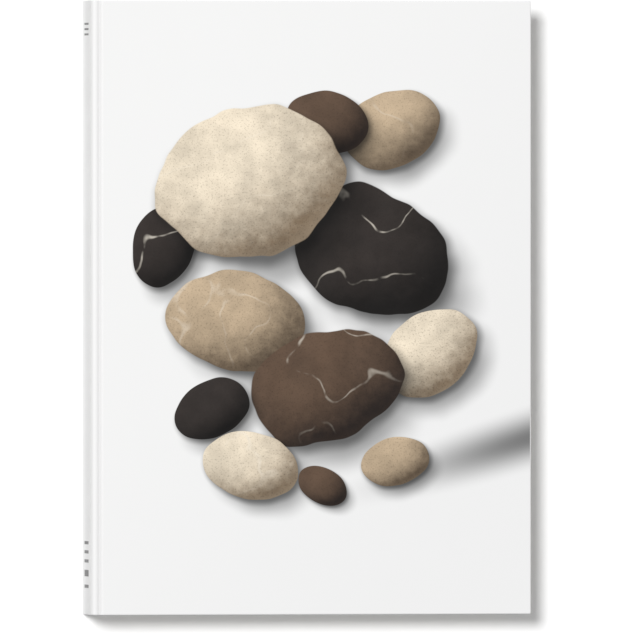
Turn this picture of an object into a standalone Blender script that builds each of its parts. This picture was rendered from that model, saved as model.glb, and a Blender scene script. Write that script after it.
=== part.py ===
"""Hardcover book, closed and lying on its back cover.

Metres, +Z up. The origin is the middle of the footprint on the table. The spine stands at -X and
runs along Y, the head of the book points to +Y and the fore edge to +X.

The text block is a stack of sewn sections. The case is two boards and a spine board under one
printed sheet, which bends in the two joints beside the spine. The book opens at the middle of the
block: the spine turns on the back joint, and the front cover turns on the front joint and takes the
upper half of the sections with it.
"""

import math

import bmesh
import bpy
from mathutils import Vector

# Page block
PAGE_WIDTH = 0.213
PAGE_HEIGHT = 0.297
SECTION_COUNT = 16
SECTION_THICK = 0.00122  # four folded sheets, which are eight leaves
LEAF_GAP = 0.0001  # air between loose sheets

# Case
SQUARE = 0.003  # how far the covers reach past the pages
BOARD_THICK = 0.0022
SPINE_BOARD_THICK = 0.002
SHEET_THICK = 0.0003  # printed covering sheet
ENDPAPER_THICK = 0.00025
GLUE_GAP = 0.00005
TURN_IN = 0.016  # how far the covering sheet folds in over the boards
EDGE_ROUND = 0.00028

# Insets from the spine's outer face, along X
LINING_INSET = 0.003
LINING_THICK = 0.0004
SEWING_INSET = 0.0035
HINGE_INSET = 0.0031
FOLD_INSET = 0.0044
COVER_INSET = 0.0053

# Spine and joints, along Z
SPINE_STEP = 0.0012  # the spine's long edges lie this far inside the covers' outer faces
GROOVE_DEPTH = 0.0019
GROOVE_ARCH = 0.0003

# Sewing and bands
LINING_MARGIN = 0.003  # the lining ends this far inside the head and the tail
SEWING_STATIONS = 5
SEWING_SPREAD = 0.116  # the outer stations lie this far from the middle
THREAD_SIZE = 0.0007
BAND_DIAMETER = 0.0019
BAND_TAPE_LENGTH = 0.012
BAND_TAPE_THICK = 0.0004
BAND_MARGIN = 0.0006  # the bands stop this far inside the block's outer sections

ROUND_STEPS = 8

# Worked out from the sizes above
COVER_THICK = 2 * SHEET_THICK + BOARD_THICK + ENDPAPER_THICK + 3 * GLUE_GAP
SPINE_THICK = 2 * SHEET_THICK + SPINE_BOARD_THICK + 2 * GLUE_GAP
SECTION_PITCH = SECTION_THICK + LEAF_GAP
BLOCK_BOTTOM = COVER_THICK + ENDPAPER_THICK + 2 * LEAF_GAP
BLOCK_THICK = SECTION_COUNT * SECTION_PITCH - LEAF_GAP
BOOK_WIDTH = FOLD_INSET + PAGE_WIDTH + SQUARE
BOOK_HEIGHT = PAGE_HEIGHT + 2 * SQUARE
BOOK_THICK = 2 * BLOCK_BOTTOM + BLOCK_THICK

MATERIALS = {
    "printed_sheet": ((0.90, 0.90, 0.89), 0.42),
    "board": ((0.52, 0.49, 0.44), 0.90),
    "page": ((0.93, 0.92, 0.88), 0.80),
    "endpaper": ((0.46, 0.37, 0.27), 0.75),
    "lining": ((0.80, 0.78, 0.72), 0.95),
    "band": ((0.62, 0.50, 0.36), 0.85),
    "thread": ((0.88, 0.86, 0.80), 0.85),
}


def inset_x(inset):
    """World X of a plane that lies this far in from the spine's outer face."""
    return inset - BOOK_WIDTH / 2


BODY_PLACES = {
    "back_cover": Vector((0, 0, 0)),
    "spine": Vector((inset_x(HINGE_INSET), 0, COVER_THICK)),
    "front_cover": Vector((inset_x(HINGE_INSET), 0, BOOK_THICK - COVER_THICK)),
}


def clear_scene():
    for obj in list(bpy.data.objects):
        bpy.data.objects.remove(obj)


def make_material(name):
    colour, roughness = MATERIALS[name]
    material = bpy.data.materials.new(name)
    material.use_nodes = True
    shader = material.node_tree.nodes["Principled BSDF"]
    shader.inputs["Base Color"].default_value = (*colour, 1)
    shader.inputs["Roughness"].default_value = roughness
    shader.inputs["Metallic"].default_value = 0
    return material


def make_axes():
    """One empty for each body, on the axis that it turns about."""
    axes = {}
    for name, place in BODY_PLACES.items():
        axis = bpy.data.objects.new(name + "_axis", None)
        bpy.context.collection.objects.link(axis)
        axis.location = place
        axes[name] = axis
    axes["front_cover"].parent = axes["spine"]
    axes["front_cover"].location = BODY_PLACES["front_cover"] - BODY_PLACES["spine"]
    axes["spine"].parent = axes["back_cover"]
    return axes


class Shop:
    """Places finished meshes as named objects on the book's three bodies."""

    def __init__(self):
        self.axes = make_axes()
        self.materials = {name: make_material(name) for name in MATERIALS}

    def place(self, name, mesh, centre, body, material):
        obj = bpy.data.objects.new(name, mesh)
        bpy.context.collection.objects.link(obj)
        obj.parent = self.axes[body]
        obj.location = Vector(centre) - BODY_PLACES[body]
        mesh.materials.clear()
        mesh.materials.append(self.materials[material])
        return obj


def box_mesh(name, size, rounding=0):
    """Box about its own middle, with its edges rounded if a radius is given."""
    bm = bmesh.new()
    bmesh.ops.create_cube(bm, size=1)
    bmesh.ops.scale(bm, vec=size, verts=bm.verts)
    if rounding:
        bmesh.ops.bevel(bm, geom=bm.edges[:], offset=rounding, segments=2, profile=0.5, affect="EDGES")
    return to_mesh(name, bm)


def extruded_mesh(name, outline, length, along):
    """Outline of (x, other) points, extruded evenly both ways along Y or along Z."""
    bm = bmesh.new()
    if along == "Y":
        verts = [bm.verts.new((x, -length / 2, z)) for x, z in outline]
        step = Vector((0, length, 0))
    else:
        verts = [bm.verts.new((x, y, -length / 2)) for x, y in outline]
        step = Vector((0, 0, length))
    face = bm.faces.new(verts)
    grown = bmesh.ops.extrude_face_region(bm, geom=[face])
    moved = [item for item in grown["geom"] if isinstance(item, bmesh.types.BMVert)]
    bmesh.ops.translate(bm, vec=step, verts=moved)
    bmesh.ops.recalc_face_normals(bm, faces=bm.faces)
    return to_mesh(name, bm)


def to_mesh(name, bm):
    mesh = bpy.data.meshes.new(name)
    bm.to_mesh(mesh)
    bm.free()
    return mesh


def arc_points(centre, radius, start, end, steps=ROUND_STEPS):
    """Points on an arc, with its angles in degrees."""
    angles = [math.radians(start + (end - start) * i / steps) for i in range(steps + 1)]
    return [(centre[0] + radius * math.cos(a), centre[1] + radius * math.sin(a)) for a in angles]


def cut_box(obj, label, low, high):
    """Cut the box between two world corners out of a piece."""
    low, high = Vector(low), Vector(high)
    cutter = bpy.data.objects.new(f"{obj.name}_{label}", box_mesh(label, high - low))
    bpy.context.collection.objects.link(cutter)
    cutter.location = (low + high) / 2
    cutter.hide_render = True
    cutter.display_type = "WIRE"
    cut = obj.modifiers.new(label, "BOOLEAN")
    cut.operation = "DIFFERENCE"
    cut.solver = "EXACT"
    cut.object = cutter


def from_outside(side, depth):
    """World Z at a depth under the outer face of the back or the front cover."""
    return depth if side == "back" else BOOK_THICK - depth


def span(side, near, far):
    """Lowest and highest world Z between two depths under a cover's outer face."""
    return sorted((from_outside(side, near), from_outside(side, far)))


def make_cover(shop, side):
    """Board, covering sheet and folded endpaper of one cover."""
    body = side + "_cover"
    left, right = inset_x(COVER_INSET), BOOK_WIDTH / 2
    half = BOOK_HEIGHT / 2
    tray_depth = 2 * SHEET_THICK + BOARD_THICK + 2 * GLUE_GAP
    wall = SHEET_THICK + GLUE_GAP

    low, high = span(side, 0, tray_depth)
    size = (right - left, BOOK_HEIGHT, tray_depth)
    centre = ((left + right) / 2, 0, (low + high) / 2)
    mesh = box_mesh(side + "_wrap", size, EDGE_ROUND)
    wrap = shop.place(side + "_wrap", mesh, centre, body, "printed_sheet")

    low, high = span(side, SHEET_THICK, tray_depth - SHEET_THICK)
    cut_box(
        wrap, "board_space",
        (left + SHEET_THICK, SHEET_THICK - half, low),
        (right - SHEET_THICK, half - SHEET_THICK, high),
    )
    low, high = span(side, BOARD_THICK, tray_depth + wall)
    cut_box(
        wrap, "turn_in_window",
        (left - wall, TURN_IN - half, low),
        (right - TURN_IN, half - TURN_IN, high),
    )

    low, high = span(side, wall, wall + BOARD_THICK)
    size = (right - left - 2 * wall, BOOK_HEIGHT - 2 * wall, BOARD_THICK)
    centre = ((left + right) / 2, 0, (low + high) / 2)
    shop.place(side + "_board", box_mesh(side + "_board", size), centre, body, "board")

    make_endpaper(shop, side)


def make_endpaper(shop, side):
    """One sheet folded in two: half is pasted to the cover and half is the free flyleaf."""
    outer = ENDPAPER_THICK + LEAF_GAP / 2
    inner = LEAF_GAP / 2
    fold = (outer, 0)
    outline = [(PAGE_WIDTH, -outer)]
    outline += arc_points(fold, outer, 270, 90)
    outline += [(PAGE_WIDTH, outer), (PAGE_WIDTH, inner)]
    outline += arc_points(fold, inner, 90, 270, 4)
    outline += [(PAGE_WIDTH, -inner)]
    name = side + "_endpaper"
    centre = (inset_x(FOLD_INSET), 0, from_outside(side, COVER_THICK + LEAF_GAP / 2))
    mesh = extruded_mesh(name, outline, PAGE_HEIGHT, "Y")
    shop.place(name, mesh, centre, side + "_cover", "endpaper")


def make_sections(shop):
    """Gatherings of folded sheets. The lower half lies on the back cover, the upper half opens."""
    radius = SECTION_THICK / 2
    outline = arc_points((radius, 0), radius, 270, 90)
    outline += [(PAGE_WIDTH, radius), (PAGE_WIDTH, -radius)]
    for number in range(1, SECTION_COUNT + 1):
        name = f"section_{number:02d}"
        body = "back_cover" if number <= SECTION_COUNT // 2 else "front_cover"
        middle = BLOCK_BOTTOM + (number - 1) * SECTION_PITCH + radius
        mesh = extruded_mesh(name, outline, PAGE_HEIGHT, "Y")
        shop.place(name, mesh, (inset_x(FOLD_INSET), 0, middle), body, "page")


def make_spine(shop):
    """Spine board in its covering sheet, which is turned in at the head and the tail."""
    left, right = inset_x(0), inset_x(SPINE_THICK)
    low, high = SPINE_STEP, BOOK_THICK - SPINE_STEP
    half = BOOK_HEIGHT / 2
    wall = SHEET_THICK + GLUE_GAP
    centre = ((left + right) / 2, 0, BOOK_THICK / 2)

    mesh = box_mesh("spine_wrap", (SPINE_THICK, BOOK_HEIGHT, high - low), EDGE_ROUND)
    wrap = shop.place("spine_wrap", mesh, centre, "spine", "printed_sheet")
    cut_box(
        wrap, "board_space",
        (left + SHEET_THICK, SHEET_THICK - half, low + SHEET_THICK),
        (right - SHEET_THICK, half - SHEET_THICK, high - SHEET_THICK),
    )
    cut_box(
        wrap, "turn_in_window",
        (right - 2 * SHEET_THICK, TURN_IN - half, low + SHEET_THICK),
        (right + SHEET_THICK, half - TURN_IN, high - SHEET_THICK),
    )

    size = (SPINE_BOARD_THICK, BOOK_HEIGHT - 2 * wall, high - low - 2 * wall)
    shop.place("spine_board", box_mesh("spine_board", size), centre, "spine", "board")


def make_joint(shop, side):
    """Bending strip of the covering sheet in the groove between the spine and a cover."""
    near = SPINE_THICK + GLUE_GAP
    width = COVER_INSET - GLUE_GAP - near
    sign = 1 if side == "back" else -1
    rise = [GROOVE_ARCH * math.sin(math.pi * i / ROUND_STEPS) for i in range(ROUND_STEPS + 1)]
    lower = [(width * i / ROUND_STEPS, sign * rise[i]) for i in range(ROUND_STEPS + 1)]
    upper = [(x, z + sign * SHEET_THICK) for x, z in reversed(lower)]
    name = side + "_joint"
    centre = (inset_x(near), 0, from_outside(side, GROOVE_DEPTH))
    mesh = extruded_mesh(name, lower + upper, BOOK_HEIGHT - 2 * SHEET_THICK, "Y")
    shop.place(name, mesh, centre, "spine", "printed_sheet")


def make_lining(shop):
    """Cloth and paper lining, glued over the folds of all the sections."""
    size = (LINING_THICK, PAGE_HEIGHT - 2 * LINING_MARGIN, BLOCK_THICK - 2 * BAND_MARGIN)
    centre = (inset_x(LINING_INSET + LINING_THICK / 2), 0, BOOK_THICK / 2)
    shop.place("spine_lining", box_mesh("spine_lining", size), centre, "spine", "lining")


def make_sewing(shop):
    """Chains of thread that link the sections, one at each sewing station."""
    radius = THREAD_SIZE / 2
    outline = arc_points((radius, 0), radius, 0, 315, 7)
    length = BLOCK_THICK - SECTION_THICK
    for number in range(1, SEWING_STATIONS + 1):
        name = f"sewing_thread_{number}"
        share = 2 * (number - 1) / (SEWING_STATIONS - 1) - 1
        centre = (inset_x(SEWING_INSET), SEWING_SPREAD * share, BOOK_THICK / 2)
        mesh = extruded_mesh(name, outline, length, "Z")
        shop.place(name, mesh, centre, "spine", "thread")


def make_band(shop, name, sign):
    """Beaded band at the head or the tail, with its tape glued under the lining."""
    radius = BAND_DIAMETER / 2
    bead = LEAF_GAP + radius
    outline = [(0, -BAND_TAPE_LENGTH), (BAND_TAPE_THICK, -BAND_TAPE_LENGTH)]
    outline += [(BAND_TAPE_THICK, LEAF_GAP)]
    outline += arc_points((radius, bead), radius, -60, 180)
    outline = [(x, sign * y) for x, y in outline]
    centre = (inset_x(SEWING_INSET), sign * PAGE_HEIGHT / 2, BOOK_THICK / 2)
    mesh = extruded_mesh(name, outline, BLOCK_THICK - 2 * BAND_MARGIN, "Z")
    shop.place(name, mesh, centre, "spine", "band")


def make_book():
    shop = Shop()
    make_cover(shop, "back")
    make_cover(shop, "front")
    make_sections(shop)
    make_spine(shop)
    make_joint(shop, "back")
    make_joint(shop, "front")
    make_lining(shop)
    make_sewing(shop)
    make_band(shop, "headband", 1)
    make_band(shop, "tailband", -1)


clear_scene()
make_book()
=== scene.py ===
"""Looks of a large hardcover book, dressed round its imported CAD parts.

The frame is in metres. Sizes below are in millimetres where a name ends in _MM or a comment or
description says so.
Places on the book are told as the inset from the spine's outer face, the height along the spine from
its middle, and the depth under a cover's outer face.
"""

import math

import bmesh
import bpy
import numpy as np
from bpy.props import FloatProperty, FloatVectorProperty, IntProperty, PointerProperty
from mathutils import Matrix, Vector, noise


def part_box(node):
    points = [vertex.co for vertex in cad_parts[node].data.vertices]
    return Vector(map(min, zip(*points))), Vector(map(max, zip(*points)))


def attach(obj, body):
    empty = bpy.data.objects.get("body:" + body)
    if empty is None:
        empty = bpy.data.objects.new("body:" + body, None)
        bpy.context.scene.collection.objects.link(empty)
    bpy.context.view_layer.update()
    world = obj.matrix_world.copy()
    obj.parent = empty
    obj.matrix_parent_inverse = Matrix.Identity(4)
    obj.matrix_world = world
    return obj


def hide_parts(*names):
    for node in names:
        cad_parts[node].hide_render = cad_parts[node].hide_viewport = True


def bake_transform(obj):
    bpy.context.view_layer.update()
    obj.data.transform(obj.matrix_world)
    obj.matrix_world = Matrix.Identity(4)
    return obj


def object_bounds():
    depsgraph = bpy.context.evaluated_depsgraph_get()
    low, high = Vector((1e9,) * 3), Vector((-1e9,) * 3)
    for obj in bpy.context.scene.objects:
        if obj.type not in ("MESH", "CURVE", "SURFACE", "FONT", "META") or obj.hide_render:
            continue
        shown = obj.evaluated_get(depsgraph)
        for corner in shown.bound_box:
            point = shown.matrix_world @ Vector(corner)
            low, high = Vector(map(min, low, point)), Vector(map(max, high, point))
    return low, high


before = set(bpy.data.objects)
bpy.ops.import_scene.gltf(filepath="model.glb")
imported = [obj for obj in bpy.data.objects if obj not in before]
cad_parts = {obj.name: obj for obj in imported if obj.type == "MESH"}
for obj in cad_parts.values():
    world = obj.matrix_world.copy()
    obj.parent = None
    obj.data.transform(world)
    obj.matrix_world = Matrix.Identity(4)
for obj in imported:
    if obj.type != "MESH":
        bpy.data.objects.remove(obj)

bl_info = {
    "name": "Hardcover Book Looks",
    "version": (1, 0, 0),
    "blender": (4, 5, 0),
    "location": "3D Viewport > Sidebar > Book",
    "description": "Dresses a packed hardcover book with its printed sheet, leaves, bands and sewing",
    "category": "Add Mesh",
}

MM = 0.001
CAD_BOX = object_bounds()
LEFT = CAD_BOX[0].x
WIDTH_MM = (CAD_BOX[1].x - CAD_BOX[0].x) / MM
HALF_HEIGHT_MM = CAD_BOX[1].y / MM
THICK_MM = CAD_BOX[1].z / MM
COVERS = ("back", "front")


def inset_of(x):
    """Inset from the spine's outer face, in mm, of a world X."""
    return (x - LEFT) / MM


SPINE_TOP_MM = inset_of(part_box("spine_wrap")[1].x)
COVER_EDGE_MM = inset_of(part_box("front_wrap")[0].x)
COVER_DEPTH_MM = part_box("back_wrap")[1].z / MM
SHOULDER_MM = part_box("spine_wrap")[0].z / MM
SECTIONS = sorted(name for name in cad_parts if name.startswith("section_"))


def amount_prop(name, description, default, **settings):
    """Number property."""
    return FloatProperty(name=name, description=description, default=default, **settings)


def colour_prop(name, description, default):
    """Colour property."""
    return FloatVectorProperty(
        name=name, description=description, subtype="COLOR", default=default, min=0, max=1
    )


class BookCase(bpy.types.PropertyGroup):
    sheet_thick: amount_prop("Sheet Thickness", "Printed covering sheet, mm", 0.28, min=0.1)
    turn_in: amount_prop("Turn-in", "How far the sheet folds in over the boards, mm", 16, min=5)
    corner_round: amount_prop("Corner Rounding", "Plan radius of the cover's corners, mm", 0.7, min=0.1)
    edge_round: amount_prop("Edge Rounding", "Radius of the sheet over the boards' edges, mm", 0.45)
    groove_drift: amount_prop("Groove Drift", "How much the joint's groove wanders in depth, mm", 0.07)
    # Painted shade: the plain ground runs from the bright paper at the spine and head to the shaded paper
    # at the fore edge and tail
    paper: colour_prop("Paper", "Bright side of the cover's plain ground", (0.82, 0.82, 0.817))
    paper_shade: colour_prop(
        "Paper Shade", "Shaded side of the cover's plain ground", (0.777, 0.777, 0.777)
    )
    # Painted shade: share of its brightness that the spine's ground keeps towards the front cover
    spine_painted_shade: amount_prop(
        "Spine Shade", "How bright the spine's ground is printed by the front cover", 0.81, min=0, max=1
    )
    # Painted shade: how much darker the sheet is painted in the grooves beside the spine
    crease_painted_shade: amount_prop(
        "Crease Shade", "How much the sheet darkens in the grooves beside the spine", 0.11, min=0, max=1
    )
    rule_ink: colour_prop("Rule Ink", "Plain rules printed on the spine", (0.10, 0.10, 0.10))


class BookPebbles(bpy.types.PropertyGroup):
    cream_light: colour_prop("Cream, Lit", "Lit side of the cream pebbles", (0.80, 0.70, 0.55))
    cream_dark: colour_prop("Cream, Shaded", "Shaded side of the cream pebbles", (0.17, 0.12, 0.075))
    tan_light: colour_prop("Tan, Lit", "Lit side of the tan pebbles", (0.52, 0.40, 0.27))
    tan_dark: colour_prop("Tan, Shaded", "Shaded side of the tan pebbles", (0.08, 0.055, 0.035))
    umber_light: colour_prop("Umber, Lit", "Lit side of the umber pebbles", (0.115, 0.072, 0.047))
    umber_dark: colour_prop("Umber, Shaded", "Shaded side of the umber pebbles", (0.010, 0.006, 0.005))
    slate_light: colour_prop("Slate, Lit", "Lit side of the near-black pebbles", (0.034, 0.027, 0.024))
    slate_dark: colour_prop(
        "Slate, Shaded", "Shaded side of the near-black pebbles", (0.0028, 0.0022, 0.002)
    )


class BookPages(bpy.types.PropertyGroup):
    sheets: IntProperty(
        name="Sheets", description="Folded sheets in each section", default=4, min=1, max=8
    )
    leaf_thick: amount_prop("Leaf Thickness", "One leaf, mm", 0.13)
    trim_drift: amount_prop("Trim Drift", "How far a leaf may fall short of the cut edge, mm", 0.12)
    bend_start: amount_prop("Shortest Bend", "Length that bends in the outermost sections, mm", 4)
    bend_share: amount_prop("Bend Share", "Bent length for each mm of height above the hinge", 2.0)
    paper: colour_prop("Page Paper", "Colour of the leaves", (0.82, 0.80, 0.74))
    endpaper: colour_prop("Endpaper", "Colour of the endpapers", (0.19, 0.125, 0.075))


class BookTrim(bpy.types.PropertyGroup):
    wind_pitch: amount_prop("Winding Pitch", "Of the bands' thread, mm", 0.42)
    wind_thread: amount_prop("Band Thread", "Thread radius, mm", 0.2)
    link_thread: amount_prop("Sewing Thread", "Thread radius, mm", 0.15)
    band_light: colour_prop("Band Light", "Lighter thread of the bands", (0.74, 0.66, 0.52))
    band_dark: colour_prop("Band Dark", "Darker thread of the bands", (0.16, 0.10, 0.06))
    thread: colour_prop("Sewing Thread Colour", "Unbleached thread", (0.74, 0.71, 0.62))


class BookStage(bpy.types.PropertyGroup):
    distance: amount_prop("Camera Distance", "From the front cover", 12.0, unit="LENGTH")
    tilt_across: amount_prop(
        "Tilt Across", "How far the camera leans to the spine's side", math.radians(10.1), unit="ROTATION"
    )
    tilt_along: amount_prop(
        "Tilt Along", "How far the camera leans to the head's side", math.radians(0.31), unit="ROTATION"
    )
    pixels_per_mm: amount_prop("Scale", "Pixels of the 640-pixel frame to a mm of the cover", 2.0258)
    cover_column: amount_prop("Cover Column", "Pixel column of the cover's middle", 311.47)
    cover_row: amount_prop("Cover Row", "Pixel row of the cover's middle", 307.55)
    sun: amount_prop("Key Light", "Strength of the key light", 2.5)
    sun_size: amount_prop(
        "Key Size", "Angle that the key light fills", math.radians(14.5), unit="ROTATION"
    )
    fill: amount_prop("Fill Light", "Strength of the even surroundings", 0.41)
    floor: colour_prop("Floor", "Colour of the floor", (0.95, 0.95, 0.95))


GROUPS = {
    "book_case": BookCase,
    "book_pebbles": BookPebbles,
    "book_pages": BookPages,
    "book_trim": BookTrim,
    "book_stage": BookStage,
}


class Wiring:
    """Adds nodes to one shader or geometry tree and joins them up."""

    def __init__(self, tree):
        self.tree = tree

    def feed(self, socket, value):
        if isinstance(value, bpy.types.NodeSocket):
            self.tree.links.new(value, socket)
        elif socket.type == "RGBA" and len(value) == 3:
            socket.default_value = (*value, 1)
        else:
            socket.default_value = value

    def node(self, kind, inputs=None, **settings):
        node = self.tree.nodes.new(kind)
        for name, value in settings.items():
            setattr(node, name, value)
        for key, value in (inputs or {}).items():
            self.feed(node.inputs[key], value)
        return node

    def made(self, kind, inputs=None, **settings):
        """First output of a new node."""
        return self.node(kind, inputs, **settings).outputs[0]

    def math(self, operation, *values):
        return self.made("ShaderNodeMath", dict(enumerate(values)), operation=operation)

    def plus(self, first, second):
        return self.math("ADD", first, second)

    def minus(self, first, second):
        return self.math("SUBTRACT", first, second)

    def times(self, first, second):
        return self.math("MULTIPLY", first, second)

    def vector(self, operation, *values):
        node = self.node("ShaderNodeVectorMath", dict(enumerate(values)), operation=operation)
        return node.outputs["Value" if operation in ("LENGTH", "DOT_PRODUCT", "DISTANCE") else "Vector"]

    def scaled(self, vector, factor):
        """Vector or colour times a number."""
        return self.made("ShaderNodeVectorMath", {0: vector, "Scale": factor}, operation="SCALE")

    def ramp(self, value, low, high, start=0.0, end=1.0):
        """Smooth step of a value from low to high."""
        inputs = {"Value": value, "From Min": low, "From Max": high, "To Min": start, "To Max": end}
        return self.node("ShaderNodeMapRange", inputs, interpolation_type="SMOOTHSTEP").outputs["Result"]

    def mix(self, factor, first, second):
        """Colour between two colours."""
        return self.node("ShaderNodeMix", {0: factor, 6: first, 7: second}, data_type="RGBA").outputs[2]

    def turned(self, vector, angle):
        """Vector turned about Z."""
        inputs = {"Vector": vector, "Angle": angle}
        return self.made("ShaderNodeVectorRotate", inputs, rotation_type="Z_AXIS")

    def mottled(self, colour, pattern, low, high):
        """Colour made darker and lighter by a noise pattern."""
        return self.scaled(colour, self.ramp(pattern, 0.2, 0.8, low, high))

    def noise(self, place, scale, detail=2.0, roughness=0.5, colour=False):
        inputs = {"Vector": place, "Scale": scale, "Detail": detail, "Roughness": roughness}
        return self.node("ShaderNodeTexNoise", inputs).outputs["Color" if colour else "Fac"]

    def combine(self, x=0.0, y=0.0, z=0.0):
        return self.made("ShaderNodeCombineXYZ", {0: x, 1: y, 2: z})

    def separate(self, vector):
        return self.node("ShaderNodeSeparateXYZ", {0: vector}).outputs


class Finish(Wiring):
    """Material with a Principled shader, whose patterns are told in mm on the book."""

    def __init__(self, name, on_bent_piece=False):
        self.material = bpy.data.materials.new(name)
        self.material.use_nodes = True
        super().__init__(self.material.node_tree)
        self.shader = self.tree.nodes["Principled BSDF"]
        if on_bent_piece:
            self.place = self.node("ShaderNodeAttribute", attribute_name="rest_place").outputs["Vector"]
        else:
            object_place = self.node("ShaderNodeTexCoord").outputs["Object"]
            self.place = self.scaled(object_place, 1 / MM)

    def set(self, **values):
        """Shader inputs by their names, with underscores for spaces."""
        for name, value in values.items():
            self.feed(self.shader.inputs[name.replace("_", " ")], value)

    def bump(self, *layers):
        """Layers of (height, depth in mm), one on another."""
        normal = None
        for height, depth in layers:
            inputs = {"Height": height, "Strength": 1.0, "Distance": depth * MM}
            if normal is not None:
                inputs["Normal"] = normal
            normal = self.node("ShaderNodeBump", inputs).outputs["Normal"]
        self.feed(self.shader.inputs["Normal"], normal)


def sizes_of(name):
    """Named sizes and colours of one property group."""
    return getattr(bpy.context.scene, name)


def new_object(name, mesh):
    obj = bpy.data.objects.new(name, mesh)
    bpy.context.scene.collection.objects.link(obj)
    return obj


def settle(obj):
    """Turn an object's modifiers into its plain mesh."""
    bpy.context.view_layer.update()
    result = obj.evaluated_get(bpy.context.evaluated_depsgraph_get())
    mesh = bpy.data.meshes.new_from_object(result)
    obj.modifiers.clear()
    obj.data = mesh


def smooth(mesh, sharp_from):
    """Shade a mesh smooth, but for edges sharper than an angle in degrees."""
    mesh.shade_smooth()
    mesh.set_sharp_from_angle(angle=math.radians(sharp_from))


def put_on_spine(obj, node):
    """Let an object ride on the spine in place of a CAD part."""
    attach(obj, "spine")
    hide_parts(node)


def point_array(mesh):
    points = np.empty(len(mesh.vertices) * 3, np.float32)
    mesh.vertices.foreach_get("co", points)
    return points.reshape(-1, 3)


def remember_place(obj):
    """Write each point's place on the closed book, in mm from the spine's outer face."""
    place = point_array(obj.data) / MM
    place[:, 0] -= LEFT / MM
    attribute = obj.data.attributes.new("rest_place", "FLOAT_VECTOR", "POINT")
    attribute.data.foreach_set("vector", place.astype(np.float32).ravel())


def face_outwards(mesh):
    """Turn the faces of a mesh of closed bodies outwards."""
    bm = bmesh.new()
    bm.from_mesh(mesh)
    bmesh.ops.recalc_face_normals(bm, faces=bm.faces)
    bm.to_mesh(mesh)
    bm.free()


def geometry_tree(name, sockets):
    """Geometry Nodes tree with named inputs and a geometry output."""
    tree = bpy.data.node_groups.new(name, "GeometryNodeTree")
    tree.interface.new_socket("Geometry", in_out="OUTPUT", socket_type="NodeSocketGeometry")
    for label, kind in sockets.items():
        tree.interface.new_socket(label, in_out="INPUT", socket_type="NodeSocket" + kind)
    wires = Wiring(tree)
    return wires, wires.node("NodeGroupInput").outputs


def with_material(wires, geometry, material):
    return wires.made("GeometryNodeSetMaterial", {"Geometry": geometry, "Material": material})


def thread_along(wires, curve, radius):
    """Round thread along a curve."""
    strand = wires.made("GeometryNodeCurvePrimitiveCircle", {"Resolution": 6, "Radius": radius})
    return wires.made("GeometryNodeCurveToMesh", {"Curve": curve, "Profile Curve": strand})


def end_tree(wires, geometry):
    """Realize and send out what a tree made."""
    real = wires.made("GeometryNodeRealizeInstances", {0: geometry})
    wires.feed(wires.node("NodeGroupOutput").inputs[0], real)
    return wires.tree


def run_tree(name, tree, values):
    """Plain mesh object that a tree makes from its named inputs."""
    obj = new_object(name, bpy.data.meshes.new(name))
    modifier = obj.modifiers.new(name, "NODES")
    modifier.node_group = tree
    for item in tree.interface.items_tree:
        if item.in_out == "INPUT":
            modifier[item.identifier] = values[item.name]
    settle(obj)
    face_outwards(obj.data)
    return obj


# Printed sheet

# Pebbles of the printed picture, far ones first: inset and height of the middle, half length,
# half width (all mm), turn in degrees, colour, grain, vein.
PEBBLES = (
    (150, 88, 25, 18, 20, "tan", 0.5, 0.2),
    (118, 92, 21, 15, -12, "umber", 0.4, 0.0),
    (36, 30, 20, 15, 62, "slate", 0.3, 0.6),
    (141, 28, 41, 30, -24, "slate", 0.35, 0.7),
    (80, 62, 47, 35, 14, "cream", 0.6, 0.25),
    (170, -22, 25, 19, 38, "cream", 0.7, 0.0),
    (72, -6, 34, 25, -8, "tan", 0.6, 0.3),
    (118, -40, 39, 27, 21, "umber", 0.5, 0.5),
    (60, -50, 20, 14, 33, "slate", 0.3, 0.0),
    (80, -78, 24, 17, -18, "cream", 0.6, 0.4),
    (152, -76, 17, 12, 12, "tan", 0.6, 0.0),
    (116, -88, 13, 9, -30, "umber", 0.4, 0.0),
)
# Rules across the spine: height and half height, mm
HEAD_RULES = ((140.0, 0.5), (137.4, 0.5), (134.8, 0.5))
TAIL_RULES = ((-116.0, 0.8), (-120.5, 0.8), (-125.0, 0.8), (-131.0, 1.6), (-137.5, 0.8))
RULE_HALF_LENGTH_MM = 6.0
RULE_BLUR_MM = 0.08
PICTURE_LIGHT = (-0.46, 0.58, 0.67)  # towards the light that shades the pebbles
# Soft and close shadow of a pebble: shift as a share of its half width, then the radii where the
# shadow starts and is full, in half sizes
PEBBLE_SHADOWS = (((0.34, -0.40, 0), 1.28, 0.62), ((0.07, -0.09, 0), 1.14, 0.92))
PEBBLE_SHADOW_DEPTH = 0.62
VEIN_TONE = (0.80, 0.74, 0.64)
# Long soft shadow: inset and height of the middle, half length, half width (all mm), turn in degrees
LONG_SHADOW = (228, -62, 118, 17, -17)
PICTURE_START_MM = 1.0  # from the cover's edge beside the groove

SPINE_ROUND_MM = (2.3, 1.5)  # how far the rounding of the spine's long edges reaches across and down
SPINE_ROUND_STEPS = 12
# Painted shade on the spine and in the grooves, each from where it starts to where it is full: heights
# over the spine, insets over the spine's edge, and insets over the groove from the spine's side and from
# the cover's
SPINE_PAINTED_SHADE_MM = (2.0, 17.0)
SPINE_EDGE_PAINTED_SHADE_MM = (2.15, 0.2)
CREASE_PAINTED_SHADE_MM = ((2.9, 4.3), (6.0, 4.2))


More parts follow.
